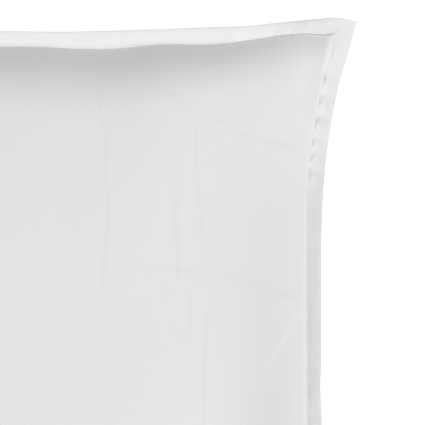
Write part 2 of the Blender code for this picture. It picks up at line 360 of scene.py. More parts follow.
@dataclass(frozen=True)
class Crease:
    """A sharp line across which the front steps up to the line's left and then eases back."""

    line: Line
    height: float
    width: float = 0.0013
    easing: float = 6.0  # over how many widths the step eases back

    def lift(self, x: Array, y: Array) -> Array:
        """How far the crease lifts the cloth.

        Args:
            x: Places across, in metres.
            y: Places along.

        Returns:
            The lift at each place.
        """
        away, side = beside_line(self.line, x, y)
        ease = np.exp(-away / (self.width * self.easing))
        return self.height * side * np.tanh(away / self.width) * ease


# Where the filling pushes the front up, as in the solids, and the small dent by the corner.
SWELLS = (
    Swell(0.220, -0.015, 0.040, 0.138, 0.0185),
    Swell(0.205, 0.170, 0.030, 0.070, 0.0025),
    Swell(-0.216, -0.040, 0.042, 0.150, 0.0080),
    Swell(0.000, -0.010, 0.250, 0.130, 0.0060),
    Swell(0.226, 0.338, 0.011, 0.024, -0.0015),
)
# The main folds, as in the solids.
MAIN_FOLDS = (
    Fold(Face.FRONT, ((-0.170, 0.330), (-0.120, 0.230)), 0.018, -0.0030),
    Fold(Face.FRONT, ((-0.195, -0.120), (-0.110, -0.090)), 0.020, -0.0028),
    Fold(Face.FRONT, ((0.190, -0.320), (0.120, -0.220)), 0.018, -0.0032),
    Fold(Face.FRONT, ((-0.150, -0.345), (-0.095, -0.235)), 0.020, -0.0034),
    Fold(Face.FRONT, ((0.020, -0.350), (0.035, -0.200)), 0.018, -0.0024),
    Fold(Face.BACK, ((0.215, 0.200), (0.170, 0.165)), 0.016, 0.0030),
    Fold(Face.BACK, ((-0.215, 0.060), (-0.165, 0.040)), 0.016, 0.0030),
    Fold(Face.BACK, ((0.060, 0.355), (0.045, 0.290)), 0.018, 0.0030),
)
# The finer creases left by folding and by the pull of the filling.
CREASES = (
    Crease(
        ((0.053, 0.343), (0.054, 0.312), (0.059, 0.288), (0.061, 0.222), (0.056, 0.165)),
        0.00020,
    ),
    Crease(
        ((0.112, 0.343), (0.123, 0.320), (0.131, 0.305), (0.133, 0.263), (0.136, 0.222)),
        0.00024,
    ),
    Crease(((0.115, 0.234), (0.118, 0.173), (0.127, 0.166), (0.128, 0.140)), 0.00030),
    Crease(((0.140, 0.132), (0.138, 0.054), (0.141, 0.005)), 0.00028),
    Crease(((0.102, 0.333), (0.111, 0.323)), -0.00022),
    Crease(((0.117, 0.323), (0.131, 0.308)), -0.00022),
    Crease(((0.148, 0.304), (0.172, 0.290), (0.205, 0.283)), -0.00020),
    Crease(((0.194, 0.111), (0.209, 0.136)), 0.00020),
    Crease(((0.130, 0.180), (0.160, 0.176), (0.196, 0.164)), -0.00024, 0.0045),
)
# The puckers by the corner that shows. The others are strewn.
PUCKERS = (
    Pucker(Edge.RIGHT, 0.3405, 0.0046, -0.0009, 0.005, 1.1),
    Pucker(Edge.RIGHT, 0.3250, 0.0046, -0.0010, 0.005, 1.1),
    Pucker(Edge.RIGHT, 0.3080, 0.0040, -0.0013, 0.005, 1.1),
    Pucker(Edge.RIGHT, 0.2890, 0.0042, -0.0009, 0.005, 0.9),
    Pucker(Edge.RIGHT, 0.2765, 0.0038, -0.0008, 0.005, 0.9),
    Pucker(Edge.RIGHT, 0.2640, 0.0038, -0.0008, 0.005, 0.9),
    Pucker(Edge.HEAD, 0.148, 0.0090, -0.0006, 0.006, 0.5),
    Pucker(Edge.HEAD, 0.163, 0.0060, 0.0004, 0.006, 0.5),
    Pucker(Edge.HEAD, 0.197, 0.0060, -0.0006, 0.012, 0.8),
    Pucker(Edge.HEAD, 0.212, 0.0050, -0.0005, 0.010, 0.8),
    Pucker(Edge.HEAD, 0.228, 0.0040, -0.0004, 0.006, 0.8),
)
# Where the flange stands up from the stitch line between two puckers.
SCALLOPS = (
    Wave(Edge.RIGHT, 0.3545, 0.0055, 0.0005),
    Wave(Edge.RIGHT, 0.3348, 0.0050, 0.0008),
    Wave(Edge.RIGHT, 0.3165, 0.0056, 0.0009),
    Wave(Edge.RIGHT, 0.2980, 0.0060, 0.0008),
    Wave(Edge.RIGHT, 0.2830, 0.0032, 0.0007),
    Wave(Edge.RIGHT, 0.2705, 0.0040, 0.0007),
    Wave(Edge.RIGHT, 0.2560, 0.0060, 0.0008),
)


@dataclass(frozen=True)
class LooseGathers:
    """Small puckers strewn along the rest of the seam, the same on every run.

    A pair of sizes is the least and the most that is drawn.
    """

    seed: int = 11
    spacing: float = 0.021
    steps: tuple[float, float] = (0.4, 1.8)  # of the spacing, from one to the next
    heights: tuple[float, float] = (0.00015, 0.00045)
    more_at_corner: float = 0.0005  # how much higher the highest may be at a corner
    corner_power: int = 4  # and how close to the corner that is
    troughs: float = 0.7  # the share of them that dips
    widths: tuple[float, float] = (0.0024, 0.0060)
    reaches: tuple[float, float] = (0.004, 0.012)
    slants: tuple[float, float] = (-0.5, 0.5)
    keep_clear: tuple[tuple[Edge, float], ...] = ((Edge.RIGHT, 0.235), (Edge.HEAD, 0.125))

    def rows(self, half_width: float, half_length: float) -> tuple[Pucker, ...]:
        """Draws the puckers.

        Args:
            half_width: Half the case's width.
            half_length: Half its length.

        Returns:
            A pucker for each place drawn.
        """
        random = np.random.default_rng(self.seed)
        clear = dict(self.keep_clear)
        found = []
        for edge in Edge:
            half = half_length if edge.value[0] == 0 else half_width
            place = -half + self.spacing
            while place < min(half - self.spacing, clear.get(edge, half)):
                least, most = self.heights
                most += self.more_at_corner * (abs(place) / half) ** self.corner_power
                height = random.uniform(least, most)
                width = random.uniform(*self.widths)
                sign = -1 if random.random() < self.troughs else 1
                reach = random.uniform(*self.reaches)
                slant = random.uniform(*self.slants)
                found.append(Pucker(edge, place, width, sign * height, reach, slant))
                place += self.spacing * random.uniform(*self.steps)
        return tuple(found)


@dataclass(frozen=True)
class Unevenness:
    """The cloth's slight waviness: soft waves that cross one another, the same on every run."""

    seed: int = 5
    count: int = 14
    shortest: float = 0.060
    longest: float = 0.170
    height: float = 0.00010

    def lift(self, x: Array, y: Array) -> Array:
        """How far the waves lift the cloth.

        Args:
            x: Places across, in metres.
            y: Places along.

        Returns:
            The lift at each place.
        """
        random = np.random.default_rng(self.seed)
        total = np.zeros_like(x)
        for _ in range(self.count):
            length = random.uniform(self.shortest, self.longest)
            turn = random.uniform(0, math.pi)
            start = random.uniform(0, 2 * math.pi)
            along = x * math.cos(turn) + y * math.sin(turn)
            total += self.height * np.sin(2 * math.pi * along / length + start)
        return total


# ---- The filled form ----


@dataclass
class CaseForm:
    """Where the cloth of the filled case lies, from (u, v). Its form is the solids' own."""

    half_width: float = 0.248
    half_length: float = 0.375
    seam_height: float = 0.040
    end_droop: float = 0.009
    droop_power: float = 5.0
    rise: float = 0.0190  # of the front from the stitch line to the top of its shoulder
    back_rise: float = 0.026
    least_rise: float = 0.0046  # by a corner, where the two panels lie close
    rise_from_side: float = 0.280  # over which the rise grows along an end
    rise_straight: float = 0.3  # the share of that over which it grows evenly
    rise_from_end: tuple[float, float] = (0.060, 0.220)  # from where along a side, over what
    steepness: float = 0.68  # of an end, at the seam
    softer_corner: float = 0.50  # how much less steep it is at a corner
    softer_to: float = 0.110  # and how far from the long side that ends
    edge_roundness: float = 0.3  # the radius of a wall's turn onto the face, beside its height
    wall_fade: float = 0.050  # over which the walls fade out towards an end
    crown_height: float = 0.017
    crown_power: float = 2.2
    back_crown: float = 0.024
    rim: float = 0.0012  # the sewn edge's thickness, inside the stitch line
    side_power: int = 4  # how soon an edge's own heights give way, inwards and at a corner
    curl_power: int = 12  # and how soon its own curls do
    fold_edge: float = 0.004  # over which a fold fades out at the seam
    hem_place: float = -0.215
    flap_thickness: float = 0.0008
    hem_step: float = 0.0010
    hem_step_reach: float = 0.040
    flange_curl: dict[Edge, float] = field(
        default_factory=lambda: {
            Edge.RIGHT: 0.0088,
            Edge.LEFT: 0.0044,
            Edge.HEAD: 0.0036,
            Edge.FOOT: 0.0028,
        }
    )
    puckers: tuple[Pucker, ...] = PUCKERS
    uneven: Unevenness = Unevenness()

    def flat(self, u: Array, v: Array) -> tuple[Array, Array]:
        """The places of (u, v) on the flat cloth, in metres."""
        return u * self.half_width, v * self.half_length

    def plan(self, outline: Outline, u: Array, v: Array) -> tuple[Array, Array]:
        """The places of (u, v) seen from above.

        Args:
            outline: The outline that u and v reach at 1 and -1.
            u: Shares across.
            v: Shares along.

        Returns:
            The places across and along, in metres.
        """
        across, along = self.flat(u, v)
        right = outline.distance(Edge.RIGHT, along, self.half_length)
        left = outline.distance(Edge.LEFT, along, self.half_length)
        head = outline.distance(Edge.HEAD, across, self.half_width)
        foot = outline.distance(Edge.FOOT, across, self.half_width)
        x = u * (right * (1 + u) + left * (1 - u)) / 2
        y = v * (head * (1 + v) + foot * (1 - v)) / 2
        return x, y

    def by_edge(self, values: dict[Edge, float], u: Array, v: Array) -> Array:
        """A value that is set for each edge, mixed by how near (u, v) is to each.

        Args:
            values: The value at each edge.
            u: Shares across.
            v: Shares along.

        Returns:
            The value at each place.
        """
        weights = {edge: edge.nearness(u, v) ** self.side_power for edge in Edge}
        total = np.maximum(sum(weights.values()), NEAR_ZERO)
        return sum(weights[edge] * values[edge] for edge in Edge) / total

    def waved(self, waves: tuple[Wave, ...], power: int, u: Array, v: Array) -> Array:
        """What the waves of all edges add up to, less of it the further in.

        Args:
            waves: The waves.
            power: How soon they fade away from their edge.
            u: Shares across.
            v: Shares along.

        Returns:
            The sum at each place.
        """
        total = np.zeros_like(u)
        flat = self.flat(u, v)
        for wave in waves:
            along = flat[1 - wave.edge.value[0]]
            near = wave.edge.nearness(u, v) ** power
            total += near * wave.offset * bell(along - wave.place, wave.width)
        return total

    def stitch_height(self, u: Array, v: Array) -> Array:
        """How high the stitch line runs, and inside the case the height it would give."""
        height = self.seam_height - self.end_droop * np.abs(v) ** self.droop_power
        return height + self.waved(LIFTS, self.side_power, u, v)

    def from_seam(self, u: Array, v: Array) -> tuple[Array, Array]:
        """The distances to the nearer long side and to the nearer end, in metres."""
        return self.flat(1 - np.abs(u), 1 - np.abs(v))

    def rises(self, full: float, u: Array, v: Array) -> Array:
        """How far a face rises from the stitch line: little by a corner, and full elsewhere.

        Args:
            full: The face's full rise.
            u: Shares across.
            v: Shares along.

        Returns:
            The rise at each place.
        """
        to_side, to_end = self.from_seam(u, v)
        start, run = self.rise_from_end
        by_corner = 1 - ramp(to_side, self.rise_from_side, self.rise_straight)
        by_corner *= 1 - smooth((to_end - start) / run)
        return self.least_rise + (full - self.least_rise) * (1 - by_corner)

    def wall(self, to_side: Array, rise: Array) -> tuple[Array, Array]:
        """The profile across a long side: straight up, then round onto the face.

        Args:
            to_side: Distances over the cloth from the seam.
            rise: How far the face rises there.

        Returns:
            How far in from the seam and how far up each place is.
        """
        radius = self.edge_roundness * rise
        upright = rise - radius
        quarter = math.pi / 2
        turn = quarter - np.clip((to_side - upright) / radius, 0.0, quarter)
        inwards = radius * (1 - np.sin(turn))
        inwards += np.maximum(to_side - upright - radius * quarter, 0.0)
        return inwards, np.minimum(to_side, upright) + radius * np.cos(turn)

    def crown(self, u: Array, v: Array) -> Array:
        """0 at the seam and 1 at the middle."""
        return (1 - np.abs(u) ** self.crown_power) * (1 - np.abs(v) ** self.crown_power)

    def face_plan(self, full: float, u: Array, v: Array) -> tuple[Array, Array]:
        """The places of (u, v) on a face, whose walls stand close over the seam.

        Args:
            full: The face's full rise.
            u: Shares across.
            v: Shares along.

        Returns:
            The places across and along, in metres.
        """
        x, y = self.plan(SEAM, u, v)
        to_side, to_end = self.from_seam(u, v)
        inwards, _ = self.wall(to_side, self.rises(full, u, v))
        return x + u * smooth(to_end / self.wall_fade) * (to_side - inwards), y

    def shoulder(self, full: float, u: Array, v: Array) -> Array:
        """How far a face has risen from the stitch line at (u, v), in metres.

        Args:
            full: The face's full rise.
            u: Shares across.
            v: Shares along.

        Returns:
            The rise so far at each place.
        """
        to_side, to_end = self.from_seam(u, v)
        rise = self.rises(full, u, v)
        near = 1 - self.softer_corner * (1 - smooth(to_side / self.softer_to))
        reach = rise / (STEEPEST * self.steepness * near)
        return self.wall(to_side, rise)[1] * ramp(to_end, reach)

    def drawn_up(
        self, u: Array, v: Array, outwards: Array | float = 0.0, reach: float = 1.0
    ) -> Array:
        """How far the puckers lift the cloth.

        Args:
            u: Shares across, at the seam for the flange.
            v: Shares along.
            outwards: Distances out over the flange, 0 on the faces.
            reach: How far a pucker runs over the flange.

        Returns:
            The lift at each place.
        """
        total = np.zeros_like(u)
        for pucker in self.puckers:
            axis, sign = pucker.edge.value
            inwards = self.flat(1 - sign * u, 1 - sign * v)[axis]
            along = self.flat(u, v)[1 - axis]
            total += pucker.lift(along, inwards - outwards, reach)
        return total

    def relief(self, face: Face, u: Array, v: Array) -> Array:
        """How much folds, creases, puckers and unevenness lift a face at (u, v).

        Args:
            face: The face.
            u: Shares across.
            v: Shares along.

        Returns:
            The lift at each place.
        """
        x, y = self.face_plan(self.rise if face is Face.FRONT else self.back_rise, u, v)
        to_side, to_end = self.from_seam(u, v)
        inside = smooth(np.minimum(to_side, to_end) / self.fold_edge)
        lift = sum(fold.lift(x, y) for fold in MAIN_FOLDS if fold.face is face)
        if face is Face.FRONT:
            lift = lift + sum(form.lift(x, y) for form in SWELLS + CREASES)
        lift = inside * (lift + self.uneven.lift(x, y))
        return lift + face.value * self.drawn_up(u, v)

    def front(self, u: Array, v: Array) -> Array:
        """Points of the filled front.

        Args:
            u: Shares across.
            v: Shares along.

        Returns:
            A row for each point.
        """
        z = self.stitch_height(u, v) + self.rim / 2 + self.shoulder(self.rise, u, v)
        z += self.crown_height * self.crown(u, v) + self.relief(Face.FRONT, u, v)
        return np.column_stack((*self.face_plan(self.rise, u, v), z))

    def back(self, u: Array, v: Array) -> Array:
        """Points of the back, which lies flat where the floor stops it.

        Args:
            u: Shares across.
            v: Shares along.

        Returns:
            A row for each point.
        """
        drop = self.shoulder(self.back_rise, u, v)
        drop += self.back_crown * self.crown(u, v) - self.relief(Face.BACK, u, v)
        z = self.stitch_height(u, v) - self.rim / 2 - drop
        return np.column_stack((*self.face_plan(self.back_rise, u, v), np.maximum(z, 0.0)))

    def back_inside(self, u: Array, v: Array, lift: Array) -> Array:
        """Points on the inner side of the back.

        Args:
            u: Shares across.
            v: Shares along.
            lift: How far inside the back each point is, at right angles to it.

        Returns:
            A row for each point.
        """
        inner_u = np.clip(u, PROBE - 1, 1 - PROBE)
        inner_v = np.clip(v, PROBE - 1, 1 - PROBE)
        across = self.back(inner_u + PROBE, inner_v) - self.back(inner_u - PROBE, inner_v)
        along = self.back(inner_u, inner_v + PROBE) - self.back(inner_u, inner_v - PROBE)
        normal = np.cross(across, along)
        normal /= np.linalg.norm(normal, axis=1, keepdims=True)
        return self.back(u, v) + lift[:, None] * normal

    def flap_lift(self, v: Array) -> Array:
        """How far the flap lies inside the back's surface."""
        from_hem = self.hem_place - v * self.half_length
        return self.hem_step * (1 - smooth(from_hem / self.hem_step_reach))


# ---- Meshes ----


@dataclass(frozen=True)
class Cuts:
    """How closely a face is cut: finer at the seams, and over the share with fine creases."""

    fine_from: float = 0.0
    fine: float = 1.2
    ease: float = 0.15
    at_seam: float = 2.2
    seam_reach: float = 0.07
    samples: int = 4001

    def places(self, even: Array) -> Array:
        """Moves evenly spaced places to where the cuts go.

        Args:
            even: The places, from -1 to 1.

        Returns:
            Where the cuts go.
        """
        place = np.linspace(-1, 1, self.samples)
        closeness = 1 + self.fine * smooth((place - self.fine_from) / self.ease + 0.5)
        closeness += self.at_seam * np.exp(-(1 - np.abs(place)) / self.seam_reach)
        total = np.concatenate(([0.0], np.cumsum((closeness[1:] + closeness[:-1]) / 2)))
        return np.interp((even + 1) / 2, total / total[-1], place)


def mesh_points(mesh: bpy.types.Mesh) -> Array:
    """Reads the points of a mesh.

    Args:
        mesh: The mesh.

    Returns:
        A row for each point.
    """
    points = np.empty(len(mesh.vertices) * 3)
    mesh.vertices.foreach_get("co", points)
    return points.reshape(-1, 3)


def add_object(name: str, data: bpy.types.ID) -> bpy.types.Object:
    """Adds an object to the scene.

    Args:
        name: Its name.
        data: Its mesh, light or camera.

    Returns:
        The new object.
    """
    added = bpy.data.objects.new(name, data)
    bpy.context.scene.collection.objects.link(added)
    return added


def make_piece(
    name: str, mesh: bpy.types.Mesh, points: Array, cloth: Array
) -> bpy.types.Object:
    """Makes a smooth cloth piece of a mesh.

    Args:
        name: The piece's name.
        mesh: Its mesh, whose points are about to be placed.
        points: Where they go, a row for each.
        cloth: The place of each point on the flat cloth, in metres.

    Returns:
        The new object, with the flat cloth as its map.
    """
    mesh.vertices.foreach_set("co", points.astype(np.float32).ravel())
    corners = np.empty(len(mesh.loops), np.int32)
    mesh.loops.foreach_get("vertex_index", corners)
    layer = mesh.uv_layers.new(name=CLOTH_UV)
    layer.data.foreach_set("uv", cloth[corners].astype(np.float32).ravel())
    mesh.update()
    mesh.shade_smooth()
    return add_object(name, mesh)


def close_up(piece: bpy.types.Object) -> None:
    """Joins points that lie on one another and turns every face outwards.

    Args:
        piece: The piece that is closed.
    """
    bm = bmesh.new()
    bm.from_mesh(piece.data)
    bmesh.ops.remove_doubles(bm, verts=bm.verts[:], dist=WELD)
    bmesh.ops.recalc_face_normals(bm, faces=bm.faces[:])
    bm.to_mesh(piece.data)
    bm.free()
    piece.data.update()


def block_mesh(name: str, columns: int, rows: int, finer_top: bool = False) -> bpy.types.Mesh:
    """A block from z = -1 to 0 whose top and bottom are cut into a grid.

    Args:
        name: The mesh's name.
        columns: How many cells across.
        rows: How many along.
        finer_top: Whether each cell of the top is cut in four.

    Returns:
        The block's mesh, from -1 to 1 across and along.
    """
    bm = bmesh.new()
    bmesh.ops.create_grid(bm, x_segments=columns, y_segments=rows, size=1.0)
    upper = bm.faces[:]
    lower = bmesh.ops.extrude_face_region(bm, geom=upper, use_keep_orig=True)["geom"]
    moved = [item for item in lower if isinstance(item, bmesh.types.BMVert)]
    bmesh.ops.translate(bm, verts=moved, vec=(0, 0, -1))
    if finer_top:
        edges = list({edge for face in upper for edge in face.edges})
        bmesh.ops.subdivide_edges(bm, edges=edges, cuts=1, use_grid_fill=True)
    bmesh.ops.recalc_face_normals(bm, faces=bm.faces[:])
    mesh = bpy.data.meshes.new(name)
    bm.to_mesh(mesh)
    bm.free()
    return mesh


# ---- Finishes ----

Tree = bpy.types.NodeTree
Socket = bpy.types.NodeSocket


def add_node(
    tree: Tree,
    kind: str,
    settings: dict[str, object] | None = None,
    inputs: dict[str | int, object] | None = None,
) -> bpy.types.Node:
    """Adds a node with its settings and links.

    Args:
        tree: The material's nodes.
        kind: The node's type.
        settings: Its own properties, by name.
        inputs: For each input, a value or the output that feeds it.

    Returns:
        The new node.
    """
    node = tree.nodes.new(kind)
    for name, value in (settings or {}).items():
        setattr(node, name, value)
    for name, value in (inputs or {}).items():
        if isinstance(value, Socket):
            tree.links.new(value, node.inputs[name])
        else:
            node.inputs[name].default_value = value
    return node


def add_noise(tree: Tree, place: Socket, scale: float, detail: float, kind: str) -> Socket:
    """Adds a noise.

    Args:
        tree: The material's nodes.
        place: Where it is read, in metres.
        scale: How many of its lumps go to a metre.
        detail: How much finer noise it carries.
        kind: Its dimensions, 2D or 3D.

    Returns:
        The noise, from 0 to 1.
    """
    inputs = {"Vector": place, "Scale": scale, "Detail": detail}
    return add_node(
        tree, "ShaderNodeTexNoise", {"noise_dimensions": kind}, inputs
    ).outputs["Fac"]


def add_bump(tree: Tree, height: Socket, depth: float, under: Socket | None = None) -> Socket:
    """Adds a relief.

    Args:
        tree: The material's nodes.
        height: The relief, from 0 to 1.
        depth: How deep it is, in metres.
        under: The relief that it lies on, if any.

    Returns:
        The normal that it bends.
    """
    inputs = {"Height": height, "Distance": depth, "Strength": 1.0}
    if under is not None:
        inputs["Normal"] = under
    return add_node(tree, "ShaderNodeBump", inputs=inputs).outputs["Normal"]


def add_mix(tree: Tree, share: Socket, first: str, second: str) -> Socket:
    """Adds a mix of two #RRGGBB colours, with a share of the second."""
    inputs = {"Factor": share, 6: linear(first), 7: linear(second)}
    return add_node(tree, "ShaderNodeMix", {"data_type": "RGBA"}, inputs).outputs[2]


@dataclass(frozen=True)
class Finish:
    """A material that is drawn with nodes."""

    name: str

    def draw(self, tree: Tree) -> dict[str, object]:
        """Adds the nodes that feed the shader, and gives the shader's inputs."""
        raise NotImplementedError

    def material(self) -> bpy.types.Material:
        """Makes the material.

        Returns:
            The material, with one shader and what feeds it.
        """
        made = bpy.data.materials.new(self.name)
        made.use_nodes = True
        tree = made.node_tree
        tree.nodes.clear()
        shader = add_node(tree, "ShaderNodeBsdfPrincipled", inputs=self.draw(tree))
        add_node(tree, "ShaderNodeOutputMaterial", inputs={"Surface": shader.outputs["BSDF"]})
        return made


@dataclass(frozen=True)
class CottonPercale(Finish):
    """White cotton percale: a plain weave of fine combed yarn, bleached, washed and pressed.

    It gives the eye a matt, chalky white with a faint grain of threads, thicker here and there,
    and a slight bloom where it is seen at a slant.
    """

    colour: str = "#EAEAEA"
    shade: str = "#E9E9E9"  # the slightly greyer white of its thicker threads
    shaded: tuple[float, float] = (0.45, 0.95)  # how thick a thread is where that begins, ends
    thread_pitch: float = 0.0016  # really 0.3 mm, drawn coarser so that it shows at all
    slub_length: float = 0.030  # over which one thread runs thick or thin
    slub_pitch: float = 0.0022  # the spacing of the threads that show so
    weft_share: float = 0.4  # how much the threads across show, beside those along
    thread_depth: float = 0.000004
    slub_depth: float = 0.0000035
    rumple_size: float = 0.016  # the slight cockling that pressing leaves
    rumple_depth: float = 0.00003
    roughness: float = 0.9
    sheen: float = 0.10

    def streaks(self, tree: Tree, cloth: Socket, across: bool) -> Socket:
        """The threads of one direction, some thicker than others.

        Args:
            tree: The material's nodes.
            cloth: The place on the flat cloth, in metres.
            across: Whether these are the threads that run across the case.

        Returns:
            How thick they are, from 0 to 1.
        """
        fine, long = 1 / self.slub_pitch, 1 / self.slub_length
        scale = (long, fine, 1.0) if across else (fine, long, 1.0)
        placed = add_node(tree, "ShaderNodeMapping", inputs={"Vector": cloth, "Scale": scale})
        return add_noise(tree, placed.outputs["Vector"], 1.0, 2.0, "2D")

    def draw(self, tree: Tree) -> dict[str, object]:
        """Draws the weave on the piece's own map.

        Args:
            tree: The material's nodes.

        Returns:
            The shader's inputs.
        """
        cloth = add_node(tree, "ShaderNodeUVMap", {"uv_map": CLOTH_UV}).outputs["UV"]
        warp = self.streaks(tree, cloth, across=False)
        weft = self.streaks(tree, cloth, across=True)
        inputs = {0: weft, 1: self.weft_share, 2: warp}
        settings = {"operation": "MULTIPLY_ADD"}
        slubs = add_node(tree, "ShaderNodeMath", settings, inputs).outputs[0]
        inputs = {"Value": slubs, "From Min": self.shaded[0], "From Max": self.shaded[1]}
        share = add_node(tree, "ShaderNodeMapRange", inputs=inputs).outputs["Result"]
        inputs = {"Vector": cloth, "Scale": 1 / self.thread_pitch}
        inputs |= {"Color1": (1,) * 4, "Color2": (0,) * 4}
        weave = add_node(tree, "ShaderNodeTexChecker", inputs=inputs).outputs["Fac"]
        rumple = add_noise(tree, cloth, 1 / self.rumple_size, 3.0, "2D")
        normal = add_bump(tree, rumple, self.rumple_depth)
        normal = add_bump(tree, slubs, self.slub_depth, normal)
        normal = add_bump(tree, weave, self.thread_depth, normal)
        return {
            "Base Color": add_mix(tree, share, self.colour, self.shade),
            "Roughness": self.roughness,
            "IOR": 1.45,
            "Specular IOR Level": 0.2,
            "Sheen Weight": self.sheen,
            "Sheen Roughness": 0.5,
            "Normal": normal,
        }


@dataclass(frozen=True)
class SewingThread(Finish):
    """White core-spun polyester thread, twisted from two plies.

    It gives the eye small plump stitches, a little shinier than the cotton, with the slant of
    the twist on each and painted shade in the grooves between its plies.
    """

    colour: str = "#EEEEEE"
    # the painted shade in the grooves between the twisted plies
    shade: str = "#DADADA"
    twist_pitch: float = 0.00754  # really 0.6 mm, drawn coarser so that it shows at all
    twist_depth: float = 0.00004
    roughness: float = 0.55
    sheen: float = 0.05

    def draw(self, tree: Tree) -> dict[str, object]:
        """Draws the twist on Object coordinates: a relief, with painted shade in its grooves.

        Args:
            tree: The material's nodes.

        Returns:
            The shader's inputs.
        """
        place = add_node(tree, "ShaderNodeTexCoord").outputs["Object"]
        settings = {"wave_type": "BANDS", "bands_direction": "DIAGONAL"}
        scale = 2 * math.pi / (DIAGONAL_BANDS * self.twist_pitch)
        inputs = {"Vector": place, "Scale": scale, "Distortion": 0.0}
        twist = add_node(tree, "ShaderNodeTexWave", settings, inputs).outputs["Fac"]
        return {
            # the twist's grooves take the painted shade colour, its crests the thread's own
            # white
            "Base Color": add_mix(tree, twist, self.shade, self.colour),
            "Roughness": self.roughness,
            "Sheen Weight": self.sheen,
            "Normal": add_bump(tree, twist, self.twist_depth),
        }


@dataclass(frozen=True)
class StudioPaper(Finish):
    """Seamless white studio paper, lit so strongly that it hardly takes a shadow."""

    name: str = "seamless_paper"
    colour: str = "#F4F4F4"
    glow: float = 0.62
    roughness: tuple[float, float] = (0.80, 0.95)
    mottle_size: float = 0.025

    def draw(self, tree: Tree) -> dict[str, object]:
        """Draws the paper's mottle, and makes it partly a light of its own.

        Args:
            tree: The material's nodes.

        Returns:
            The shader's inputs.
        """
        place = add_node(tree, "ShaderNodeTexCoord").outputs["Object"]
        mottle = add_noise(tree, place, 1 / self.mottle_size, 4.0, "3D")
        inputs = {"Value": mottle, "To Min": self.roughness[0], "To Max": self.roughness[1]}
        rough = add_node(tree, "ShaderNodeMapRange", inputs=inputs)
        return {
            "Base Color": linear(self.colour),
            "Roughness": rough.outputs["Result"],
            "Specular IOR Level": 0.1,
            "Emission Color": (1.0, 1.0, 1.0, 1.0),
            "Emission Strength": self.glow,
        }


# ---- The pieces ----


@dataclass
class FilledCase:
    """The front and back panels sewn edge to edge, filled by the pillow, as one closed form."""

    form: CaseForm
    finish: CottonPercale
    columns: int = 112
    rows: int = 156
    across: Cuts = Cuts(fine_from=0.12, fine=1.9)
    along: Cuts = Cuts(fine_from=0.15)
    fill: float = 0.6  # how tightly it is filled, from 0, slack, to 1, tight
    hem_width: float = 0.022  # from the hem's edge to its stitches
    hem_reach: float = 0.995  # the share of the width that they run
    hem_edge: float = 0.0004  # how far the hem's edge leans
    stitch_samples: int = 2000

    def hem_line(self) -> tuple[Array, Array]:
        """Where the hem's stitches lie on the back, and which way it faces there.

        Returns:
            A row for each place, and one for each way.
        """
        u = np.linspace(-self.hem_reach, self.hem_reach, self.stitch_samples)
        v = np.full_like(u, (self.form.hem_place + self.hem_width) / self.form.half_length)
        line = self.form.back(u, v)
        return line, line - self.form.back_inside(u, v, np.ones_like(u))

    def build(self) -> bpy.types.Object:
        """Builds and dresses the filled case.

        Returns:
            The piece.
        """
        mesh = block_mesh("filled_case", self.columns, self.rows, finer_top=True)
        even = mesh_points(mesh)
        u, v = self.across.places(even[:, 0]), self.along.places(even[:, 1])
        upper = even[:, 2] > HALFWAY_DOWN
        v = np.where(upper, v, self.snap_to_hem(v, upper))
        hidden = ~upper & (v * self.form.half_length < self.form.hem_place - WELD)
        points = np.where(upper[:, None], self.form.front(u, v), self.form.back(u, v))
        lift = self.form.flap_lift(v) + self.form.flap_thickness
        points[hidden] = self.form.back_inside(u[hidden], v[hidden], lift[hidden])
        cloth = np.column_stack(self.form.flat(u, v))
        piece = make_piece("filled_case", mesh, points, cloth)
        piece.data.materials.append(self.finish.material())
        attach(piece, BODY)
        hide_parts("case_body")
        return piece

    def snap_to_hem(self, v: Array, upper: Array) -> Array:
        """Moves the back's two rows next to the hem onto its two sides.

        Args:
            v: Shares along of all points.
            upper: Which of them are the front's.

        Returns:
            The shares with those rows moved.
        """
        hem = self.form.hem_place / self.form.half_length
        rows = np.unique(np.round(v[~upper], ROW_DIGITS))
        nearest = int(np.argmin(np.abs(rows - hem)))
        below = hem - self.hem_edge / self.form.half_length
        moved = v.copy()
        moved[np.abs(v - rows[nearest]) < SAME_ROW] = hem
        moved[np.abs(v - rows[nearest - 1]) < SAME_ROW] = below
        return moved


